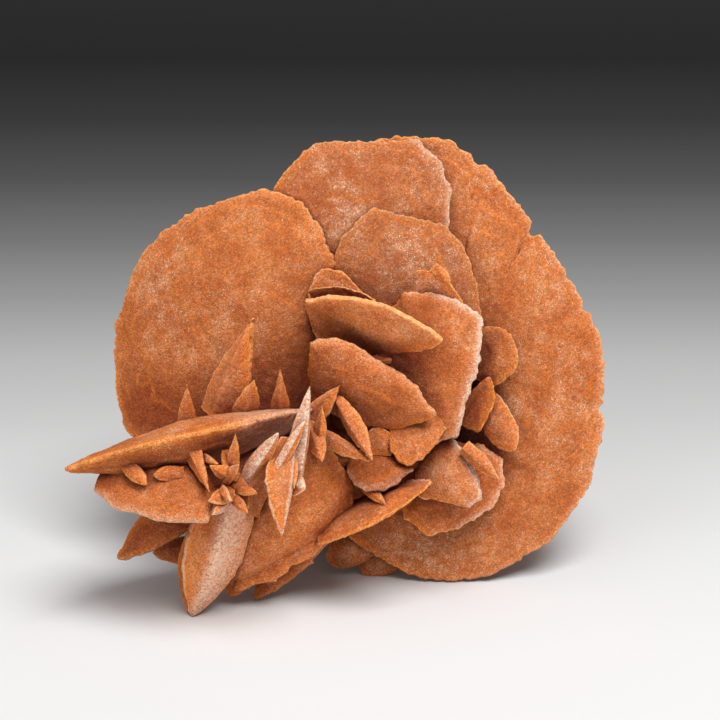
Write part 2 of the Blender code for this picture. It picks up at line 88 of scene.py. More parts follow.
# Leaves: name, root and tip (across, up, out), roll of the face about the length in degrees,
# half widths left and right of the way from root to tip, widest place as a share of the length,
# root width as a share, point (1 sharp, 0.5 round), thickness, rim thickness, colour.
LEAVES = (
    ("long_lens", (-5, 33.8, 20), (-50.5, 23.5, 31), 102, 10, 18, 0.47, 0.55, 0.85, 10.0, 1.4, ORANGE),
    ("front_blade", (-20.5, 21, 23), (-28, -6, 13), -18, 7.6, 5, 0.45, 0.85, 0.85, 11.0, 1.6, PALE),
    ("upper_lens", (-5, 53.0, 17), (21, 48, 30), 48, 7.5, 7, 0.45, 0.6, 0.8, 4.0, 1.4, ORANGE),
    ("collar_plate", (3, 44, 12.5), (-2, 62.5, 13), -8, 5.5, 7, 0.5, 0.8, 0.5, 3.5, 1.4, SAND),
    ("rear_layer", (19, 44.5, 12), (16.5, 62.5, 12.5), -10, 7, 8, 0.5, 0.8, 0.5, 3.5, 1.4, SAND),
    ("apron_plate", (20, 37, 16.5), (13, 24.5, 21), 0, 4.5, 6.5, 0.5, 0.8, 0.5, 3.5, 1.4, ORANGE),
    ("lens_twin", (-4, 55.5, 15), (8.5, 56.2, 20.5), 48, 5, 4.5, 0.45, 0.8, 0.7, 2.2, 1.0, RUST),
    ("edge_blade", (-3, 11, 14), (19.5, 21.5, 22), -64, 6, 6, 0.5, 0.7, 0.8, 3.5, 1.2, ORANGE),
    ("low_plate", (0, 12, 10), (-16, -3, 8), 0, 2.5, 5, 0.5, 0.7, 0.6, 3.5, 1.2, RUST),
    ("side_blade", (-22.5, 17, 20), (-28, -5, 13), 45, 1.5, 6.5, 0.6, 0.6, 0.8, 4.0, 1.2, ORANGE),
    ("low_left_blade", (-26, 15, 12), (-42.5, 5.5, 8), 15, 2.5, 5.5, 0.55, 0.8, 0.9, 3.5, 1.2, RUST),
    ("low_left_leaf", (-25, 9, 8), (-36, 6.5, 5), 0, 3.5, 2, 0.5, 0.8, 0.8, 2.5, 1.0, RUST),
    ("tall_blade", (-21.8, 33.5, 18.5), (-15.2, 53.2, 22.5), -24, 5.0, 4.4, 0.15, 1.0, 1.0, 8.0,
     0.9, ORANGE),
    ("right_leaf_upper", (27, 46, 9), (36, 44, 10.5), 0, 6.5, 6, 0.55, 0.8, 0.6, 4.0, 1.2, RUST),
    ("right_leaf_middle", (26, 31, 11), (30.5, 41.5, 12), 0, 2.5, 3, 0.5, 0.8, 0.6, 2.5, 1.0, RUST),
    ("right_leaf_lower", (28, 39, 8), (35.5, 26.5, 9), 0, 3.5, 3.5, 0.6, 0.8, 0.6, 3.5, 1.2, SAND),
    ("small_right_blade", (25, 28, 17), (32, 21.5, 18.5), 20, 1.9, 1.8, 0.4, 0.9, 0.9, 2.4, 0.8, SAND),
    ("small_round_leaf", (8.6, 26, 19.4), (8.6, 32, 20.6), 0, 3.0, 3.2, 0.55, 0.8, 0.5, 2.0, 0.9, SAND),
    ("pale_blade_long", (-7.5, 30, 30), (-9.3, 11.8, 36.5), -20, 1.2, 4.8, 0.42, 0.5, 0.95, 4.4, 0.9, PALE),
    ("pale_blade_upright", (-7, 22, 29), (-4.2, 40, 33), 30, 3.0, 1.5, 0.35, 0.9, 0.95, 3.6, 0.9, PALE),
    ("pale_blade_left", (-18, 20, 30), (-9.8, 31.2, 36), 20, 2.0, 2.2, 0.5, 0.95, 0.7, 3.4, 0.9, PALE),
    ("pale_blade_short", (-10.5, 24, 33), (-5, 33.5, 34.5), 10, 1.3, 1.3, 0.5, 0.9, 0.7, 2.4, 0.9, PALE),
    ("pale_leaf", (-9.5, 22.5, 30), (-5, 20.5, 33), 0, 2.2, 2.4, 0.6, 0.9, 0.8, 2.4, 0.9, PALE),
    ("blade_a", (-5.5, 33.5, 23), (1.5, 40, 26), -15, 1.2, 2.8, 0.4, 0.8, 0.95, 2.4, 0.8, SAND),
    ("blade_b", (0.5, 37.5, 24), (7.5, 25.5, 29), 20, 2.4, 1.6, 0.5, 0.35, 0.95, 3.0, 0.8, RUST),
    ("blade_c", (-3, 31.5, 24), (7, 25.5, 27.5), 0, 1.2, 2.2, 0.4, 0.7, 0.95, 2.6, 0.8, SAND),
    ("blade_e", (-4.5, 33, 26), (-2, 25.5, 30), 10, 2.0, 1.8, 0.6, 0.5, 0.8, 2.4, 0.8, ORANGE),
    ("spike_left", (-27.8, 31, 24), (-27.6, 40.3, 26.5), 0, 1.9, 1.9, 0.2, 1.0, 1.0, 3.0, 0.7, ORANGE),
    ("spike_middle", (-17, 32, 23), (-14.8, 41.0, 27), 0, 2.8, 2.4, 0.3, 1.0, 0.9, 3.4, 0.7, ORANGE),
    ("spike_right", (-10, 32, 23), (-10, 43.5, 27.5), 0, 2.0, 2.0, 0.2, 1.0, 1.0, 3.2, 0.7, RUST),
    ("nest_leaf_round", (-27.6, 23.6, 31), (-33.6, 23.2, 32.4), 0, 1.7, 1.5, 0.5, 0.8, 0.6, 2.4, 0.8, RUST),
    ("nest_blade_long", (-28.5, 32, 28), (-22.6, 19.8, 35.5), 20, 2.3, 2.3, 0.2, 0.95, 1.0, 3.6,
     0.8, ORANGE),
    ("nest_spike", (-18.8, 22, 31.5), (-18, 31.2, 34.5), 0, 1.5, 1.4, 0.3, 1.0, 1.0, 2.6, 0.7, ORANGE),
    ("nest_leaf_low", (-19.5, 24, 31.5), (-16, 16, 33.5), 0, 2.4, 2.4, 0.5, 0.9, 0.9, 2.8, 0.9, RUST),
    ("nest_bed", (-12, 19, 21), (-30, 25, 25), 0, 6.5, 7.5, 0.5, 0.85, 0.6, 4.5, 1.4, RUST),
    ("foot_leaf_left", (10, 10, -2.2), (-1.5, 4.0, -2.6), 0, 4, 4.5, 0.6, 0.8, 0.5, 4.0, 1.0, SAND),
    ("foot_leaf_right", (15, 8, -3.2), (5.0, 1.5, -3.4), 0, 4, 4.5, 0.5, 0.8, 0.5, 4.0, 1.0, SAND),
    ("rear_foot_left", (-3, 38, -6), (-18, 8, -27), 35, 13, 12, 0.55, 0.7, 0.6, 8.0, 1.6, ORANGE),
    ("rear_foot_right", (9, 38, -6), (24, 8, -27), -35, 12, 13, 0.55, 0.7, 0.6, 8.0, 1.6, ORANGE),
    ("rear_shelf", (0, 38, -4), (8, 64, -30), 10, 18, 15, 0.55, 0.7, 0.6, 8.0, 1.6, SAND),
    ("rear_blade_left", (-4, 42, -4), (-35, 60, -17), -45, 13, 12, 0.5, 0.7, 0.7, 7.0, 1.4, RUST),
    ("rear_blade_right", (12, 40, -2), (43, 57, -16), 45, 12, 13, 0.5, 0.7, 0.7, 7.0, 1.4, RUST),
    ("rear_low_plate", (2, 36, -6), (3, 14, -34), 0, 14, 14, 0.5, 0.7, 0.65, 7.0, 1.4, SAND),
    ("inner_upright_left", (-4, 10, 7), (-3, 48, 9), 90, 9, 9, 0.5, 0.5, 0.7, 6.0, 1.4, RUST),
    ("inner_upright_right", (14, 23, 6), (14, 54, 8), 90, 8, 8, 0.5, 0.5, 0.7, 6.0, 1.4, RUST),
    ("inner_level", (-24, 24, 12), (26, 25, 6), 90, 8, 8, 0.45, 0.5, 0.7, 6.0, 1.4, RUST),
    ("inner_level_upper", (-4, 43, 9), (25, 46, 9), 90, 8, 8, 0.5, 0.6, 0.7, 5.0, 1.4, RUST),
    ("inner_slant_left", (-12, 17, 9), (-34, 14, 18), 75, 8, 7, 0.5, 0.6, 0.8, 5.0, 1.2, RUST),
)


# Crystallites too small to be crystals of their own in the solid model, with the columns of LEAVES
CRYSTALLITES = (
    ("nest_crumb", (-18.5, 20, 33), (-23, 18.5, 36.5), 15, 1.8, 1.6, 0.45, 0.9, 0.9, 2.6, 0.8, SAND),
    ("nest_blade_cross", (-18, 22.5, 32.5), (-22.8, 25.2, 36), -20, 1.5, 1.6, 0.45, 0.9, 0.9, 2.4, 0.7,
     ORANGE),
    ("nest_leaf_left", (-39.4, 25.8, 30), (-34.4, 21.2, 33.2), 0, 1.6, 1.7, 0.5, 0.7, 0.7, 2.6,
     0.8, ORANGE),
    ("nest_chip_low", (-19, 19.5, 32), (-15.6, 16.2, 36), 25, 1.5, 1.3, 0.4, 0.9, 0.9, 2.2, 0.7, ORANGE),
    ("nest_chip_high", (-20, 22, 33), (-17.2, 25.4, 36.5), -15, 1.2, 1.2, 0.4, 0.9, 0.9, 2.0, 0.7, SAND),
    ("nest_chip_left", (-19.5, 18.5, 33), (-22.5, 15.8, 36), -25, 1.3, 1.3, 0.4, 0.9, 0.9, 2.2, 0.7, PALE),
    ("nest_chip_front", (-20.5, 20.5, 34), (-18.6, 18.6, 38), 40, 1.3, 1.4, 0.4, 0.9, 0.9, 2.2, 0.7, SAND),
    ("nest_chip_right", (-17.5, 20.5, 33), (-13.8, 20.0, 36.5), -40, 1.2, 1.2, 0.4, 0.9, 0.9, 2.2, 0.7,
     ORANGE),
    ("nest_shard", (-25.5, 26.5, 29), (-21.2, 25.2, 34), 30, 1.3, 1.3, 0.4, 0.9, 0.9, 2.2, 0.7, ORANGE),
    ("nest_sliver", (-20, 27.5, 30), (-19.6, 23, 34.5), -30, 1.1, 1.1, 0.4, 0.9, 0.9, 2.0, 0.7, RUST),
    ("shelf_spike", (6, 20.5, 17.5), (10.5, 16.5, 22), 0, 1.4, 1.4, 0.3, 1.0, 1.0, 2.2, 0.7, ORANGE),
    ("blade_d", (-2.6, 29, 27), (-2, 36.2, 29.5), 0, 1.2, 1.2, 0.3, 1.0, 1.0, 2.2, 0.7, RUST),
    ("foot_layer_a", (-8, 8.5, 14), (-16.5, 1.0, 13.2), 10, 3.4, 2.6, 0.45, 0.7, 0.6, 3.2, 0.9, ORANGE),
    ("foot_layer_b", (-1, 12, 15), (-9.5, 4.2, 14.2), 0, 2.2, 2.6, 0.5, 0.7, 0.7, 3.0, 0.9, SAND),
    ("foot_layer_c", (-13, 7.5, 13), (-19.5, -0.8, 12.2), 15, 2.6, 2.6, 0.5, 0.8, 0.6, 3.0, 0.9, RUST),
    ("crown_crumb", (19, 62.5, 18), (22.5, 59.5, 20), 0, 1.4, 1.3, 0.5, 0.8, 0.7, 1.8, 0.8, ORANGE),
    ("rear_chip_a", (-8, 50, -11), (-15, 57, -19), 50, 4.0, 4.5, 0.5, 0.8, 0.7, 3.4, 1.0, ORANGE),
    ("rear_chip_b", (14, 52, -10), (23, 58, -17), -50, 4.5, 4.0, 0.5, 0.8, 0.7, 3.4, 1.0, RUST),
    ("rear_chip_c", (16, 34, -10), (26, 30, -18), -60, 4.5, 4.0, 0.5, 0.8, 0.7, 3.4, 1.0, SAND),
    ("rear_chip_d", (-6, 30, -11), (-17, 27, -18), 60, 4.0, 4.5, 0.5, 0.8, 0.7, 3.4, 1.0, ORANGE),
    ("rear_chip_e", (4, 30, -12), (4, 23, -22), 80, 4.0, 4.0, 0.5, 0.8, 0.7, 3.0, 1.0, RUST),
    ("rear_chip_f", (2, 56, -11), (-3, 64, -19), 15, 4.5, 4.5, 0.5, 0.8, 0.7, 3.4, 1.0, SAND),
    ("rear_chip_g", (10, 46, -13), (15, 49, -24), 70, 3.6, 3.4, 0.5, 0.8, 0.8, 3.0, 0.9, PALE),
    ("rear_chip_h", (-1, 44, -13), (-7, 41, -23), -60, 3.4, 3.6, 0.5, 0.8, 0.8, 3.0, 0.9, SAND),
    ("rear_chip_i", (5, 50, -13), (2, 53, -25), 20, 3.0, 3.2, 0.5, 0.8, 0.8, 2.6, 0.9, ORANGE),
    ("rear_chip_j", (7, 38, -13), (12, 33, -23), 30, 3.0, 3.4, 0.5, 0.8, 0.8, 2.6, 0.9, RUST),
    ("rear_chip_k", (36, 60, -3), (43, 65, -8), 35, 4.0, 4.0, 0.5, 0.8, 0.6, 3.0, 1.0, SAND),
    ("rear_chip_l", (37, 28, -3), (44, 22, -8), -40, 4.5, 4.0, 0.5, 0.8, 0.6, 3.0, 1.0, ORANGE),
    ("rear_chip_m", (30, 18, -2), (34, 10, -7), 30, 3.6, 4.0, 0.5, 0.8, 0.7, 3.0, 1.0, RUST),
    ("rear_chip_n", (24, 74, -3), (26, 81, -7), 20, 4.0, 4.4, 0.5, 0.8, 0.6, 3.0, 1.0, RUST),
    ("rear_chip_o", (-26, 50, 1), (-33, 46, -4), 30, 4.0, 4.4, 0.5, 0.8, 0.6, 3.0, 1.0, ORANGE),
    ("pale_sliver", (-7.5, 27, 31), (-7.2, 20.5, 34), 20, 1.1, 1.2, 0.4, 0.9, 0.9, 2.2, 0.7, ORANGE),
)

DISC_POWER = 2.4  # how flat a disc's lens section is
LEAF_POWER = 1.5  # the same for a leaf
OUTLINE_POWER = 1.6  # how a leaf's width falls toward its tip
DISC_ROW = 8  # columns in a row of DISCS
THIN_RIM = 0.72  # rims of the finished blades against those of the plain ones

# Mesh of a blade
CELL = 0.34  # size of a cell, mm
BACK_CELL = 0.5  # the same on blades that only show from behind
REAR = ("rear_", "inner_")  # how the names of those blades start
LEAST_CELLS, MOST_CELLS = 30, 218  # grid lines across a blade
RIM_CROWDING = 1.35  # how much closer the rings lie toward the rim
OUTLINE_SAMPLES = 2400
CORNER_SAMPLES = 45  # how far a disc's corners are eased
FULL_SIZE = 12.0  # blades smaller than this, mm, get smaller teeth and swells
FIRST_SEED, SEED_STEP = 17, 13

# Relief: wavelength and height in mm of each layer of noise
WARP = ((26.0, 0.55),)
SWELL = ((9.0, 0.26), (4.0, 0.15))
CRUST = ((1.7, 0.10), (0.8, 0.09))
TEETH = ((7.0, 0.45), (2.6, 0.30), (1.1, 0.30), (0.6, 0.20))
TEETH_REACH = 14  # power of the ring by which the teeth fade inward
RAGGED = {  # teeth of some blades against the rest
    "lower_disc": 1.5, "low_plate": 1.8, "foot_leaf_left": 1.5, "foot_leaf_right": 1.5,
    "foot_layer_a": 2.2, "foot_layer_b": 2.2, "foot_layer_c": 2.0, "under_plate": 0.55,
}

# Growth layers on a broad disc: distance from the rim and height, mm
DISC_LAYERS = ((3.0, 0.42), (8.0, 0.40), (15.0, 0.35))
BROAD_DISC = 30.0  # mean radius at which they have these measures
LAYER_EDGE = 0.4  # width of a layer's edge, mm
LAYERED = {  # height of the layers of some discs against the rest
    "left_disc": 0.4, "crown_leaf": 0.6, "middle_disc": 0.6, "under_plate": 0.2, "centre_plate": 0.4,
}

# Chips in the outline: angle in degrees from the right, depth in mm, half width in degrees
CHIPS = {"back_disc": ((57.5, 1.8, 2.2), (-17.0, 1.2, 2.5), (82.0, 0.8, 2.0), (22.0, 0.7, 2.5))}

# Blades with a ridge along their length, as against flat plates, by how their names start
RIDGED = (
    "front_blade", "tall_blade", "side_blade", "low_left_blade", "low_left_leaf", "small_right_blade",
    "pale_", "blade_", "spike_", "nest_blade", "nest_chip", "nest_crumb", "nest_spike", "nest_shard",
    "nest_sliver", "nest_leaf_low", "shelf_spike", "edge_blade",
)

# White frost on the rim, with a painted highlight on the side that faces the light: how strong, and toward
# which side in degrees from the right
FROST_AND_HIGHLIGHT = {
    "centre_plate": (0.9, 10.0), "wedge_plate": (1.0, 0.0), "round_disc": (0.6, 0.0),
    "centre_lens": (0.25, 50.0), "under_plate": (0.45, 270.0), "crown_leaf": (0.7, 0.0),
    "back_disc": (0.25, -10.0), "edge_blade": (0.8, 90.0), "shelf_plate": (0.5, 270.0),
    "apron_plate": (0.4, 180.0), "upper_lens": (0.15, 90.0), "long_lens": (0.0, 0.0),
}
PLAIN_FROST_AND_HIGHLIGHT = (0.12, 90.0)
FROST_AND_HIGHLIGHT_BAND = 1.1  # width of the band of frost and painted highlight, mm
RIDGE_FROST_AND_HIGHLIGHT = 0.06  # frost and painted highlight along the ridge of a blade
RIDGE_BAND = 0.12  # width of that line as a share of the blade's
FROSTED_ROOT = ("long_lens",)
RIM_GLOW = 1.55  # how far the painted glow of light through the thin rim reaches, mm

# Patches on some faces: across, up, reach in mm, then how clean and darkened (+) or how dusty and lightened
# (-). Besides real clean and dusty crust they carry painted shade, as in the left disc's corner above the
# long lens and under the upper lens, and painted light, as at the bottom of the back disc
PATCHES = {
    "left_disc": (
        (-9, 41, 8, 0.55), (-25, 37, 7, 0.5), (-37, 36, 8, 1.2), (-30, 48, 8, -0.8), (-24, 58, 7, -0.5),
        (-38, 62, 7, -0.4),
    ),
    "centre_plate": ((15, 46.5, 6, 1.1), (7, 44, 6, 0.9), (20, 53, 5, -0.3)),
    "long_lens": ((-36, 24.5, 4, 0.9), (-23, 27, 4, 0.8), (-30, 31, 5, -0.4)),
    "centre_lens": ((-3, 44, 6, 0.4), (2, 37, 8, -0.35)),
    "shelf_plate": ((6, 21.5, 6, 0.7), (12, 27, 3, -0.4)),
    "round_disc": ((20, 22, 7, 0.5),),
    "crown_leaf": ((8, 72, 8, -0.5), (-4, 76, 6, -0.3)),
    "middle_disc": ((12, 66, 8, -0.6),),
    "back_disc": ((42, 50, 12, -0.4), (36, 30, 10, -0.5), (46, 68, 8, -0.3), (17, 6.5, 9, -0.9)),
    "lower_disc": ((-6, 24, 7, -0.5), (2, 12, 5, 0.4)),
    "right_leaf_middle": ((30, 36, 4, 0.5),),
    "under_plate": ((-24, 24, 7, 0.5),),
}

# How light each crystal is against its finish
TONES = {
    "back_disc": 0.95, "left_disc": 0.93, "crown_leaf": 0.85, "middle_disc": 0.79, "lower_disc": 1.16,
    "right_leaf_upper": 0.9, "right_leaf_middle": 0.98, "nest_bed": 0.85, "upper_lens": 1.25,
    "wedge_plate": 1.03, "long_lens": 0.94, "front_blade": 1.34, "tall_blade": 1.1, "round_disc": 1.1,
    "centre_lens": 0.98, "shelf_plate": 0.93,
}

# Colours in linear RGB
# Frost, and painted highlight on rims, ridges and facets toward the light
FROST_AND_HIGHLIGHT_COLOUR = (0.96, 0.72, 0.57)
SPARKLE_COLOUR = (0.96, 0.70, 0.50)
PAINTED_RIM_GLOW_COLOUR = (0.82, 0.215, 0.024)  # painted glow of light through the clean crystal just inside a rim
# Clean crystal, and painted shade where a patch darkens a face
CLEAN_AND_SHADE_COLOUR = (0.34, 0.062, 0.008)
CREVICE_PAINTED_SHADE = (0.22, 0.065, 0.012)  # painted shade: what is left of the light colours deep between blades
CREVICE_REACH = 15.0  # mm
FLOOR_GLOW = 14.0  # mm above the floor up to which the painted shade weakens, standing in for the pale floor lighting the hollows
FINE_SAND, COARSE_SAND = 0.21, 0.5  # grains, mm

FLOOR_SIDE = 6.0  # half the floor's side, metres
FLOOR_NEAR, FLOOR_FAR = -0.07, 0.60  # the stretch of depth over which its brightness changes
FLOOR_LEVEL = 0.92
FLOOR_PAINTED_FALLOFF = (  # painted light falloff: brightness by depth in metres, dark behind the rose
    (-0.064, 0.833), (0.57, 0.0437), (-0.0425, 0.838), (-0.0167, 0.823), (0.0121, 0.806),
    (0.0442, 0.738), (0.0804, 0.622), (0.1217, 0.520), (0.169, 0.352), (0.2238, 0.210),
    (0.288, 0.108), (0.3645, 0.056), (0.457, 0.0336),
)

# Camera: the point it looks at in the rose frame, its distance from there, and half the width of
# what it takes in at that distance, metres
LOOKED_AT = (5.1, 44.6, 0.0)
VIEW_DISTANCE, VIEW_HALF_WIDTH = 0.482, 0.072


def unit(vector):
    return np.asarray(vector, float) / np.linalg.norm(vector)


def disc_axes(turn, nod):
    """Right, up and face directions of a disc that is turned to the right and nods upward."""
    turn, nod = math.radians(turn), math.radians(nod)
    face = np.array([math.sin(turn) * math.cos(nod), math.sin(nod), math.cos(turn) * math.cos(nod)])
    right = np.array([math.cos(turn), 0.0, -math.sin(turn)])
    return right, np.cross(face, right), face


def leaf_axes(root, tip, roll):
    """Length, left and face directions of a leaf whose face is rolled about its length."""
    length = unit(np.subtract(tip, root))
    out = np.array([0.0, 0.0, 1.0])
    level = unit(out - length * (out @ length))
    roll = math.radians(roll)
    face = math.cos(roll) * level + math.sin(roll) * np.cross(length, level)
    return length, np.cross(face, length), face


def at_places(places, known_places, table):
    """The columns of a table of points, read between its known places."""
    return np.stack([np.interp(places, known_places, table[:, k]) for k in (0, 1)], 1)


def rounded(outline, reach):
    """The closed outline with each point replaced by the mean of its neighbours within reach of it,
    counted in samples, so that corners are eased and straight sides stay straight."""
    kernel = np.hanning(2 * reach + 3)[1:-1]
    kernel /= kernel.sum()
    wrapped = np.concatenate([outline[-reach:], outline, outline[:reach]])
    return np.stack([np.convolve(wrapped[:, k], kernel, "valid") for k in (0, 1)], 1)


def disc_outline(radii):
    """Closed outline through the listed radii at even angles, joined by straight sides."""
    angles = np.arange(len(radii) + 1) * 2 * math.pi / len(radii)
    radii = np.append(radii, radii[0])
    corner = np.stack([radii * np.cos(angles), radii * np.sin(angles)], 1)
    place = np.arange(OUTLINE_SAMPLES) / OUTLINE_SAMPLES * (len(corner) - 1)
    return rounded(at_places(place, np.arange(len(corner)), corner), CORNER_SAMPLES)


def chipped(outline, chips):
    """The outline with a V-shaped dent at each chip's angle."""
    angle = np.degrees(np.arctan2(outline[:, 1], outline[:, 0]))
    for where, deep, wide in chips:
        away = np.abs((angle - where + 180) % 360 - 180) / wide
        dent = 1 - deep * np.clip(1 - away, 0, 1) / np.linalg.norm(outline, axis=1)
        outline = outline * dent[:, None]
    return outline


def leaf_width(share, belly, root_share, point):
    """Half width of a leaf as a share of its greatest: 1 at the belly, falling as a square to
    root_share at the root, and as (1 - x^OUTLINE_POWER)^point to nothing at the tip."""
    toward_root = 1 - (1 - root_share) * (np.clip(belly - share, 0, None) / belly) ** 2
    toward_tip = (1 - np.clip((share - belly) / (1 - belly), 0, 1) ** OUTLINE_POWER) ** point
    return np.where(share <= belly, toward_root, toward_tip)


def leaf_outline(length, left, right, belly, root_share, point):
    """Closed outline of a leaf about its widest place: its half width on either side of its length."""
    half = OUTLINE_SAMPLES // 2
    share = 0.5 - 0.5 * np.cos(np.linspace(0, math.pi, half))
    width = leaf_width(share, belly, root_share, point)
    along = (share - belly) * length
    there = np.stack([along, left * width], 1)[::-1]
    back = np.stack([along, -right * width], 1)[:-1]
    return np.concatenate([there, back])


def is_disc(row):
    return len(row) == DISC_ROW


def finish_of(row):
    return row[6] if is_disc(row) else row[-1]


def disc_plan(row):
    """Centre, axes, outline and growth layers of a disc. A small disc has small layers."""
    name, centre, turn, nod, _, _, _, radii = row
    broad = min(1.0, np.mean(radii) / BROAD_DISC)
    broad_height = broad**0.7 * LAYERED.get(name, 1.0)
    layers = tuple((distance * broad, height * broad_height) for distance, height in DISC_LAYERS)
    outline = chipped(disc_outline(radii), CHIPS.get(name, ()))
    return np.array(centre, float), disc_axes(turn, nod), outline, layers


def leaf_plan(row):
    """Centre, axes, outline and the one growth layer of a leaf, about its widest place."""
    _, root, tip, roll, left, right, belly, root_share, point, _, rim, _ = row
    axes = leaf_axes(root, tip, roll)
    length = leaf_length(row)
    centre = np.array(root, float) + axes[0] * belly * length
    layers = ((min(left, right) * 0.42, min(0.22, rim * 0.18)),)
    return centre, axes, leaf_outline(length, left, right, belly, root_share, point), layers


def leaf_length(row):
    return np.linalg.norm(np.subtract(row[2], row[1]))


def hashed(ix, iy, iz, seed):
    """A repeatable number from 0 to 1 for each lattice point, by multiplying and mixing bits."""
    h = (ix * 374761393 + iy * 668265263 + iz * 2147483647 + seed * 1274126177) & 0xFFFFFFFF
    h = ((h ^ (h >> 13)) * 1103515245) & 0xFFFFFFFF
    h = ((h ^ (h >> 16)) * 668265263) & 0xFFFFFFFF
    return ((h ^ (h >> 15)) & 0xFFFFFF) / 0xFFFFFF


def noise(points, wavelength, seed):
    """Smooth noise from -1 to 1: lattice numbers a wavelength apart, blended by 3t^2 - 2t^3."""
    place = points / wavelength
    corner = np.floor(place).astype(np.int64)
    part = place - corner
    part = part * part * (3 - 2 * part)
    total = np.zeros(len(points))
    for dx in (0, 1):
        for dy in (0, 1):
            for dz in (0, 1):
                share = (
                    (part[:, 0] if dx else 1 - part[:, 0])
                    * (part[:, 1] if dy else 1 - part[:, 1])
                    * (part[:, 2] if dz else 1 - part[:, 2])
                )
                total += share * hashed(corner[:, 0] + dx, corner[:, 1] + dy, corner[:, 2] + dz, seed)
    return total * 2 - 1


def relief(points, layers, seed):
    """Sum of noise layers, each with its wavelength and height."""
    return sum(height * noise(points, wave, seed + 7 * k) for k, (wave, height) in enumerate(layers))


def smooth(value):
    """0 below 0, 1 above 1, and 3t^2 - 2t^3 between."""
    value = np.clip(value, 0, 1)
    return value * value * (3 - 2 * value)


def bell(distance, width):
    """exp(-(distance/width)^2): 1 at no distance and next to nothing two widths away."""
    return np.exp(-((distance / width) ** 2))


def square_rings(count):
    """A square grid as rings: for each point its ring, the larger of |u| and |v| (0 in the middle,
    1 at the rim), and its turn, how far round the square it lies (0 to 1, anticlockwise)."""
    u, v = np.meshgrid(np.linspace(-1, 1, count), np.linspace(-1, 1, count), indexing="ij")
    ring = np.maximum(np.abs(u), np.abs(v))
    safe_u, safe_v = np.where(u == 0, 1e-9, u), np.where(v == 0, 1e-9, v)
    wide, tall = np.abs(u) >= np.abs(v), np.abs(v) > np.abs(u)
    side = np.select(
        [(u > 0) & wide, (v > 0) & tall, (u < 0) & wide],
        [v / safe_u, 2 - u / safe_v, 4 + v / safe_u],
        6 - u / safe_v,
    )
    return ring, (side / 8) % 1.0


def round_the_rim(outline, turn):
    """The outline's point at each turn, and the direction straight outward there. The outline is
    walked at even steps of its length."""
    closed = np.concatenate([outline, outline[:1]])
    run = np.concatenate([[0], np.cumsum(np.linalg.norm(np.diff(closed, axis=0), axis=1))])
    perimeter = run[-1]
    at = turn * perimeter
    ahead = at_places((at + 0.5) % perimeter, run, closed)
    behind = at_places((at - 0.5) % perimeter, run, closed)
    tangent = ahead - behind
    tangent /= np.linalg.norm(tangent, axis=1, keepdims=True) + 1e-9
    return at_places(at, run, closed), np.stack([tangent[:, 1], -tangent[:, 0]], 1)


def outline_area(outline):
    """Area inside the outline: half the sum of the cross products of its neighbouring points."""
    closed = np.concatenate([outline, outline[:1]])
    return abs(np.sum(closed[:-1, 0] * closed[1:, 1] - closed[1:, 0] * closed[:-1, 1])) / 2


def edge_rounding(edge, rim):
    """(1 - (1 - edge/width)^2.6)^(1/2.6), with edge in mm from the outline: 0 there, 1 inside."""
    width = max(rim * 0.34, 0.2)
    return (1 - (1 - np.clip(edge / width, 0, 1)) ** 2.6) ** (1 / 2.6)


def half_lens(ring, thick, rim, power):
    """Half the thickness of a flat blade: rim/2 + (thick - rim)/2 (1 - ring^power)."""
    return rim / 2 + (thick - rim) / 2 * (1 - ring**power)


def half_ridge(flat, thick, rim, row):
    """Half the thickness of a ridged blade: a roof over the line from root to tip, falling straight
    to the rim on both sides, and by x^1.6 toward the tip."""
    left, right, belly, root_share, point = row[4:9]
    share = np.clip(flat[:, 0] / leaf_length(row) + belly, 0, 1)
    half_width = np.where(flat[:, 1] > 0, left, right) * leaf_width(share, belly, root_share, point)
    aside = np.clip(np.abs(flat[:, 1]) / np.maximum(half_width, 1e-3), 0, 1)
    roof = 1.02 - np.sqrt(aside**2 + 0.0016)
    toward_tip = np.clip((share - belly) / (1 - belly), 0, 1)
    return rim / 2 + (thick - rim) / 2 * np.clip(roof, 0, 1) * (1 - toward_tip**1.6)


def terraces(around, edge, points, layers, seed):
    """Growth layers that stop short of the rim: each lowers the blade by its height outside a wavy
    line at its distance from the rim, over part of the way round. Also how close a point is to
    such a line, 1 on it."""
    drop, brink = np.zeros(len(edge)), np.zeros(len(edge))
    for k, (distance, height) in enumerate(layers):
        line = distance * (1 + 0.85 * noise(around, 15.0, seed + 31 + k))
        line = line + 0.9 * noise(points, 3.0, seed + 41 + k)
        there = smooth(0.5 + 1.6 * noise(around, 30.0, seed + 51 + k))
        drop += height * there * (1 - smooth((edge - line) / LAYER_EDGE + 0.5))
        brink = np.maximum(brink, there * bell(edge - line, LAYER_EDGE))
    return drop, brink


def two_sheets(count, at_rim):
    """Faces of a front and a back grid of points that share the points at the rim. The back's own
    points come after the front's, and its faces are turned over."""
    index = np.arange(count * count).reshape(count, count)
    back = np.where(at_rim, index.ravel(), 0)
    back[~at_rim] = count * count + np.arange(np.count_nonzero(~at_rim))
    front_faces, back_faces = (
        np.stack([i[:-1, :-1], i[1:, :-1], i[1:, 1:], i[:-1, 1:]], -1).reshape(-1, 4)
        for i in (index, back.reshape(count, count))
    )
    return np.concatenate([front_faces, back_faces[:, ::-1]])


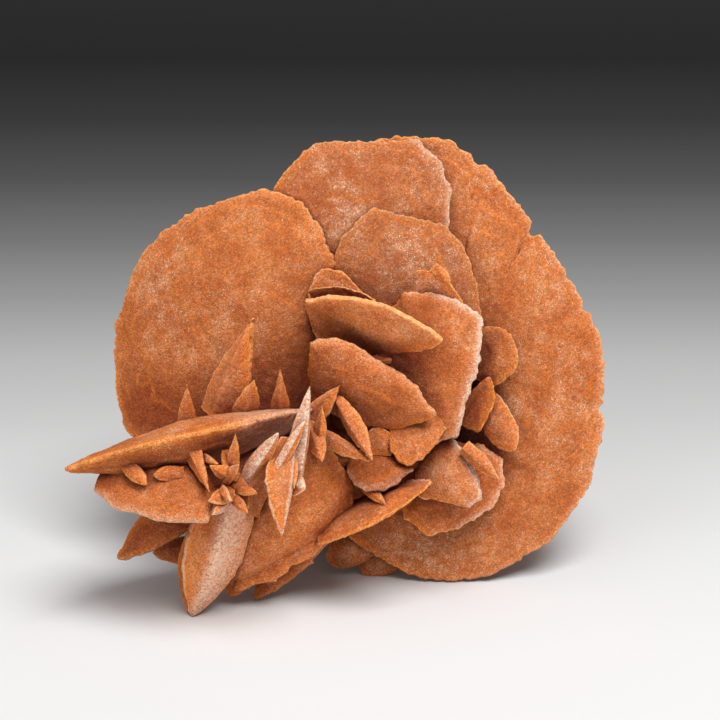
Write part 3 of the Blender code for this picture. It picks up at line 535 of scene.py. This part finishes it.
def frost_and_highlight_of(row, flat, edge, normal):
    """How much frost and painted highlight each point has: a band along the rim toward one side, the side
    that faces the light, a line along the ridge, the upper facet of a pale blade, painted lighter than the
    other facet, and the root of some."""
    strength, side = FROST_AND_HIGHLIGHT.get(row[0], PLAIN_FROST_AND_HIGHLIGHT)
    toward = np.array([math.cos(math.radians(side)), math.sin(math.radians(side))])
    frost_and_highlight = strength * bell(edge, FROST_AND_HIGHLIGHT_BAND) * smooth(normal @ toward + 0.35)
    if row[0].startswith(RIDGED):
        left = row[4]
        ridge = bell(flat[:, 1], RIDGE_BAND * left)
        if finish_of(row) == PALE:
            most = 1.0 if row[0].startswith("pale_") else 0.7
            facet = 1.0 - 0.8 * np.clip(flat[:, 1] / left, 0, 1)
            ridge = most * np.where(flat[:, 1] > 0, facet, 0.9 * ridge)
        else:
            ridge = RIDGE_FROST_AND_HIGHLIGHT * ridge
        frost_and_highlight = np.maximum(frost_and_highlight, ridge)
    if row[0] in FROSTED_ROOT:
        frost_and_highlight = np.maximum(frost_and_highlight, 0.5 * smooth((-flat[:, 0] - 3) / 14))
    return frost_and_highlight


def clean_and_shade_of(name, points):
    """Each point's share of clean crust and painted shade (+), and of dust and painted light (-): each
    patch fades from its middle as a bell.
    """
    clean_and_shade = np.zeros(len(points))
    for across, up, reach, amount in PATCHES.get(name, ()):
        clean_and_shade += amount * bell(np.hypot(points[:, 0] - across, points[:, 1] - up), reach)
    return clean_and_shade


def blade_surface(row, seed, cell):
    """Points and faces of one blade, in the rose frame, and the values its material reads.

    A point at ring r and turn t lies r of the way from the middle to the outline at t, plus or
    minus half the thickness along the face. Noise of the point's own place adds warp, swell, growth
    layers and the sand crust, and the outline's teeth fade inward as r^TEETH_REACH."""
    name = row[0]
    centre, axes, outline, layers = disc_plan(row) if is_disc(row) else leaf_plan(row)
    thick, rim = row[4:6] if is_disc(row) else row[9:11]
    rim = rim * THIN_RIM
    size = math.sqrt(outline_area(outline))
    count = int(np.clip(size / cell, LEAST_CELLS, MOST_CELLS))
    fine = min(1.0, size / FULL_SIZE)

    grid_ring, turn = (grid.ravel() for grid in square_rings(count))
    at_rim = grid_ring == 1
    ring = 1 - (1 - grid_ring) ** RIM_CROWDING
    rim_point, normal = round_the_rim(outline, turn)
    edge = (1 - ring) * np.abs(np.sum(rim_point * normal, 1))

    around = np.column_stack([rim_point, np.full(len(ring), 3.0 * seed)])
    teeth = sum(
        height * fine * (noise(around, wave, seed + k) - 0.25) for k, (wave, height) in enumerate(TEETH)
    ) * RAGGED.get(name, 1.0)
    flat = rim_point * ring[:, None] + normal * (teeth * ring**TEETH_REACH)[:, None]
    place = np.column_stack([flat, np.full(len(ring), 5.0 * seed)])
    warp = fine * relief(place, WARP, seed + 60)
    if name.startswith(RIDGED):
        half = half_ridge(flat, thick, rim, row)
    else:
        half = half_lens(ring, thick, rim, DISC_POWER if is_disc(row) else LEAF_POWER)
    half = half * edge_rounding(edge, rim)
    calm = smooth(edge / 1.2) * 0.75 + 0.25

    sheets, glows = [], []
    for side in (1, -1):
        local = place + np.array([0, 0, 40.0 * side])
        drop, brink = terraces(around, edge, local, layers, seed + 100 * (side + 2))
        # painted glow of light through the thin rim and at the edges of growth layers
        glows.append(np.maximum(bell(edge, RIM_GLOW), 0.7 * brink))
        bumps = fine * relief(local, SWELL, seed + 200 * (side + 2)) * calm
        crust = relief(local, CRUST, seed + 300 * (side + 2)) * (0.4 + 0.6 * fine)
        open_edge = smooth(half / (rim * 0.4))
        height = half - np.minimum(drop, half * 0.45) + (bumps + crust - 0.1) * open_edge
        sheets.append(side * np.maximum(height, half * 0.35))
    front = np.column_stack([flat, warp + np.where(at_rim, relief(place, CRUST, seed + 900), sheets[0])])
    back = np.column_stack([flat, warp + sheets[1]])[~at_rim]

    points = centre + np.concatenate([front, back]) @ np.array(axes)
    frost_and_highlight = frost_and_highlight_of(row, flat, edge, normal)
    values = {
        "clean_and_shade": clean_and_shade_of(name, points),
        # the rim value carries the painted glow of light through the thin rim
        "rim": np.concatenate([glows[0], glows[1][~at_rim]]),
        "frost_and_highlight": np.concatenate([frost_and_highlight, frost_and_highlight[~at_rim]]),
        "tone": np.full(len(points), TONES.get(name, 1.0)),
    }
    return points, two_sheets(count, at_rim), values


def stand(points):
    """Rose frame to the shared frame: lean back, centre, and wear what reaches the floor flat."""
    across, up, out = points.T
    sin, cos = math.sin(LEAN), math.cos(LEAN)
    depth = up * sin - out * cos - CENTRE_DEPTH
    height = up * cos + out * sin
    return np.column_stack([across - CENTRE_ACROSS, depth, np.maximum(height, 0.0)]) * MM


def new_piece(name, points, faces, values):
    """A smooth mesh object from whole arrays, with one number per point for each named value."""
    mesh = bpy.data.meshes.new(name)
    mesh.vertices.add(len(points))
    mesh.vertices.foreach_set("co", points.astype(np.float32).ravel())
    mesh.loops.add(faces.size)
    mesh.loops.foreach_set("vertex_index", faces.astype(np.int32).ravel())
    mesh.polygons.add(len(faces))
    mesh.polygons.foreach_set("loop_start", np.arange(0, faces.size, 4, dtype=np.int32))
    mesh.polygons.foreach_set("use_smooth", np.ones(len(faces), dtype=bool))
    mesh.update(calc_edges=True)
    mesh.validate()
    for value, numbers in values.items():
        layer = mesh.attributes.new(value, "FLOAT", "POINT")
        layer.data.foreach_set("value", numbers.astype(np.float32))
    piece = bpy.data.objects.new(name, mesh)
    bpy.context.scene.collection.objects.link(piece)
    return piece


class Finish:
    """A small hand for laying out shader nodes."""

    def __init__(self, name):
        self.material = bpy.data.materials.new(name)
        self.material.use_nodes = True
        self.nodes = self.material.node_tree.nodes
        self.links = self.material.node_tree.links
        self.shader = self.nodes["Principled BSDF"]
        self.place = self.nodes.new("ShaderNodeTexCoord").outputs["Object"]

    def set(self, node, name, value):
        if isinstance(value, bpy.types.NodeSocket):
            self.links.new(value, node.inputs[name])
        else:
            node.inputs[name].default_value = value

    def axis(self, name):
        """The point's own X, Y or Z, metres."""
        node = self.nodes.new("ShaderNodeSeparateXYZ")
        self.set(node, "Vector", self.place)
        return node.outputs[name]

    def noise(self, size, detail=4.0, rough=0.55):
        """Fractal noise whose features are size millimetres across."""
        node = self.nodes.new("ShaderNodeTexNoise")
        self.set(node, "Vector", self.place)
        self.set(node, "Scale", 1 / (size * MM))
        self.set(node, "Detail", detail)
        self.set(node, "Roughness", rough)
        return node.outputs["Fac"]

    def grains(self, size):
        """Sand grains of that size in millimetres: distance to the grain's middle, and its colour."""
        node = self.nodes.new("ShaderNodeTexVoronoi")
        self.set(node, "Vector", self.place)
        self.set(node, "Scale", 1 / (size * MM))
        return node.outputs["Distance"], node.outputs["Color"]

    def span(self, value, low, high, out_low=0.0, out_high=1.0):
        """Straight from low..high to out_low..out_high, held at both ends."""
        node = self.nodes.new("ShaderNodeMapRange")
        self.set(node, "Value", value)
        self.set(node, "From Min", low)
        self.set(node, "From Max", high)
        self.set(node, "To Min", out_low)
        self.set(node, "To Max", out_high)
        return node.outputs["Result"]

    def math(self, operation, a, b):
        node = self.nodes.new("ShaderNodeMath")
        node.operation = operation
        self.set(node, 0, a)
        self.set(node, 1, b)
        return node.outputs[0]

    def times(self, a, b):
        return self.math("MULTIPLY", a, b)

    def mix(self, share, a, b, blend="MIX"):
        node = self.nodes.new("ShaderNodeMix")
        node.data_type = "RGBA"
        node.blend_type = blend
        self.set(node, 0, share)
        self.set(node, 6, (*a, 1) if isinstance(a, tuple) else a)
        self.set(node, 7, (*b, 1) if isinstance(b, tuple) else b)
        return node.outputs[2]

    def value(self, name):
        """What the mesh carries under that name at each point."""
        node = self.nodes.new("ShaderNodeAttribute")
        node.attribute_name = name
        return node.outputs["Fac"]

    def channel(self, colour, name):
        node = self.nodes.new("ShaderNodeSeparateColor")
        self.set(node, "Color", colour)
        return node.outputs[name]

    def grey(self, level):
        node = self.nodes.new("ShaderNodeCombineColor")
        for name in ("Red", "Green", "Blue"):
            self.set(node, name, level)
        return node.outputs["Color"]


def dust_veil(f, dustiness):
    """How much fine white sand covers the crust: clouds gathered in patches, none under the patches of
    clean crust and painted shade, and more under the patches of dust and painted light.
    """
    patch = f.span(f.noise(12.0, 6.0, 0.62), 0.42, 0.66)
    veil = f.span(f.noise(2.2, 6.0, 0.7), 0.40, 0.72)
    veil = f.times(veil, f.span(patch, 0, 1, 0.2 * dustiness, 1.15 * dustiness))
    return f.times(veil, f.span(f.value("clean_and_shade"), -1.0, 1.0, 2.6, 0.0))


def crust_colour(f, veil, deep, body, dust, rim_light_colour):
    """Deep and body colours in soft clouds, then the dust, the clean patches with painted shade, the
    painted glow inside the rim, a painted line of light along the rim's very edge and the frost with
    painted highlight over one another."""
    rim = f.value("rim")
    colour = f.mix(f.span(f.noise(6.0, 5.0, 0.6), 0.34, 0.66), deep, body)
    colour = f.mix(veil, colour, dust)
    ragged = f.span(f.noise(2.5, 5.0, 0.65), 0.3, 0.6, 0.7, 1.0)
    # clean crust, and painted shade where a patch darkens a face
    colour = f.mix(f.times(f.span(f.value("clean_and_shade"), 0.0, 1.0), ragged), colour, CLEAN_AND_SHADE_COLOUR)
    # painted glow of light through the thin rim
    colour = f.mix(f.span(rim, 0.1, 0.9, 0.0, 0.8), colour, PAINTED_RIM_GLOW_COLOUR)
    # painted line of light along the very edge of the rim
    rim_light_line = f.times(f.span(rim, 0.88, 0.985), f.span(f.noise(1.6, 4.0), 0.35, 0.6, 0.35, 1.0))
    colour = f.mix(f.times(rim_light_line, 0.8), colour, rim_light_colour)
    # frost, and painted highlight on the side toward the light
    crystals = f.times(f.value("frost_and_highlight"), f.span(f.noise(0.7, 4.0, 0.7), 0.36, 0.56, 0.2, 1.0))
    return f.mix(crystals, colour, FROST_AND_HIGHLIGHT_COLOUR)


def grain_shade(f, fine_colour, coarse_colour):
    """Each sand grain's own brightness, fine times coarse, and the tone of the whole crystal."""
    fine = f.span(f.channel(fine_colour, "Red"), 0, 1, 0.68, 1.27)
    coarse = f.span(f.channel(coarse_colour, "Green"), 0, 1, 0.86, 1.14)
    return f.grey(f.times(f.times(fine, coarse), f.value("tone")))


def hollow_shade(f):
    """Painted shade that darkens the light colours deep between blades, less of it close above the pale
    floor.
    """
    hollow = f.nodes.new("ShaderNodeAmbientOcclusion")
    hollow.samples = 8
    f.set(hollow, "Distance", CREVICE_REACH * MM)
    lifted = f.span(f.axis("Z"), 0.0, FLOOR_GLOW * MM, 0.38, 0.0)
    openness = f.span(f.math("ADD", hollow.outputs["AO"], lifted), 0.22, 0.90)
    return f.mix(openness, CREVICE_PAINTED_SHADE, (1.0, 1.0, 1.0))


def crust_bump(f, fine_distance, coarse_distance):
    """Relief of the sand: soft lumps, less the distance to the middle of each grain."""
    height = f.math("SUBTRACT", f.times(f.noise(0.9, 3.0, 0.6), 0.6), f.times(fine_distance, 0.55))
    height = f.math("SUBTRACT", height, f.times(coarse_distance, 0.45))
    bump = f.nodes.new("ShaderNodeBump")
    f.set(bump, "Height", height)
    f.set(bump, "Strength", 0.9)
    f.set(bump, "Distance", 0.22 * MM)
    return bump.outputs["Normal"]


def gypsum(slot, deep, body, dust, rim_light_colour, dustiness):
    """Sand-crusted gypsum. Deep and body colours swap in soft clouds, fine white grains gather in patches
    over them, each sand grain has its own brightness, rims carry a painted glow and a painted line of
    light, and hollows painted shade."""
    f = Finish(slot + "_crust")
    fine_distance, fine_colour = f.grains(FINE_SAND)
    coarse_distance, coarse_colour = f.grains(COARSE_SAND)
    veil = dust_veil(f, dustiness)
    colour = crust_colour(f, veil, deep, body, dust, rim_light_colour)
    colour = f.mix(1.0, colour, grain_shade(f, fine_colour, coarse_colour), "MULTIPLY")
    clear = f.math("ADD", f.channel(fine_colour, "Blue"), f.times(veil, 0.45))
    sparkle = f.span(clear, 0.95, 1.10)
    colour = f.mix(f.times(sparkle, 0.5), colour, SPARKLE_COLOUR)
    # painted shade deep between blades
    colour = f.mix(1.0, colour, hollow_shade(f), "MULTIPLY")
    f.set(f.shader, "Base Color", colour)
    f.set(f.shader, "Roughness", f.span(sparkle, 0, 1, 0.85, 0.45))
    f.set(f.shader, "IOR", 1.52)
    f.set(f.shader, "Specular IOR Level", 0.35)
    f.set(f.shader, "Subsurface Weight", 0.2)
    f.set(f.shader, "Subsurface Radius", (1.0, 0.30, 0.08))
    f.set(f.shader, "Subsurface Scale", 1.2 * MM)
    f.set(f.shader, "Normal", crust_bump(f, fine_distance, coarse_distance))
    return f.material


# Deep, body, dust and painted rim light colours in linear RGB, and how dusty
FINISHES = {
    ORANGE: gypsum(
        ORANGE, (0.53, 0.120, 0.020), (0.70, 0.212, 0.048), (0.80, 0.39, 0.21), (0.93, 0.38, 0.105), 0.42
    ),
    RUST: gypsum(
        RUST, (0.46, 0.095, 0.014), (0.62, 0.170, 0.036), (0.73, 0.33, 0.17), (0.91, 0.36, 0.10), 0.40
    ),
    SAND: gypsum(
        SAND, (0.53, 0.124, 0.025), (0.67, 0.203, 0.056), (0.77, 0.40, 0.24), (0.93, 0.44, 0.18), 0.55
    ),
    PALE: gypsum(
        PALE, (0.60, 0.158, 0.034), (0.74, 0.255, 0.076), (0.85, 0.50, 0.32), (0.95, 0.58, 0.34), 0.42
    ),
}


def make_crystals():
    """Every crystal of the solid model, finer, and the crystallites between them."""
    made = [(row, True) for row in DISCS + LEAVES] + [(row, False) for row in CRYSTALLITES]
    for number, (row, in_cad) in enumerate(made):
        name, finish = row[0], finish_of(row)
        cell = BACK_CELL if name.startswith(REAR) else CELL
        points, faces, values = blade_surface(row, FIRST_SEED + SEED_STEP * number, cell)
        piece = new_piece(name + "_crystal", stand(points), faces, values)
        piece.data.materials.append(FINISHES[finish])
        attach(piece, "root")
        if in_cad:
            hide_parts(name)


def floor_finish():
    """Matt floor with painted light falloff: its brightness follows the depth table above."""
    f = Finish("studio_floor")
    ramp = f.nodes.new("ShaderNodeValToRGB")
    f.set(ramp, "Fac", f.span(f.axis("Y"), FLOOR_NEAR, FLOOR_FAR))
    stops = ramp.color_ramp.elements
    for number, (depth, bright) in enumerate(FLOOR_PAINTED_FALLOFF):
        place = (depth - FLOOR_NEAR) / (FLOOR_FAR - FLOOR_NEAR)
        stop = stops[number] if number < 2 else stops.new(place)  # a new ramp has two stops
        stop.position = place
        level = bright * FLOOR_LEVEL
        stop.color = (level, level, level, 1)
    f.set(f.shader, "Base Color", ramp.outputs["Color"])
    f.set(f.shader, "Roughness", 0.9)
    f.set(f.shader, "Specular IOR Level", 0.0)
    return f.material


def floor():
    """A wide floor, pale round the rose, with painted light falloff to dark behind it."""
    mesh = bpy.data.meshes.new("floor")
    side = FLOOR_SIDE
    corners = [(-side, -side, 0), (side, -side, 0), (side, side, 0), (-side, side, 0)]
    mesh.from_pydata(corners, [], [(0, 1, 2, 3)])
    ground = bpy.data.objects.new("floor", mesh)
    bpy.context.scene.collection.objects.link(ground)
    mesh.materials.append(floor_finish())


def area_light(name, place, size, watts):
    """A square soft light at a place in metres, aimed at the middle of the rose."""
    light = bpy.data.lights.new(name, "AREA")
    light.shape = "SQUARE"
    light.size = size
    light.energy = watts
    lamp = bpy.data.objects.new(name, light)
    bpy.context.scene.collection.objects.link(lamp)
    lamp.location = place
    lamp.rotation_euler = (Vector((0, 0, 0.04)) - Vector(place)).to_track_quat("-Z", "Y").to_euler()


def studio():
    """Soft light from above and the right, a weak fill from the left, and an even pale room."""
    area_light("key", (0.26, -0.42, 1.02), 0.6, 13.2)
    area_light("fill", (-0.7, -0.6, 0.9), 1.0, 2.8)
    world = bpy.data.worlds.new("room")
    bpy.context.scene.world = world
    world.use_nodes = True
    background = world.node_tree.nodes["Background"]
    background.inputs["Color"].default_value = (1, 1, 1, 1)
    background.inputs["Strength"].default_value = 0.20
    bpy.context.scene.view_settings.view_transform = "Standard"


def camera():
    """In front of the rose and 20 degrees above it, looking down at it."""
    lens = bpy.data.cameras.new("camera")
    lens.angle = 2 * math.atan(VIEW_HALF_WIDTH / VIEW_DISTANCE)
    lens.clip_start = 0.01
    eye = bpy.data.objects.new("camera", lens)
    bpy.context.scene.collection.objects.link(eye)
    target = Vector(stand(np.array([LOOKED_AT]))[0])
    forward = Vector((0, math.cos(LEAN), -math.sin(LEAN)))
    eye.location = target - forward * VIEW_DISTANCE
    eye.rotation_euler = forward.to_track_quat("-Z", "Y").to_euler()
    bpy.context.scene.camera = eye


camera()
studio()
floor()
make_crystals()
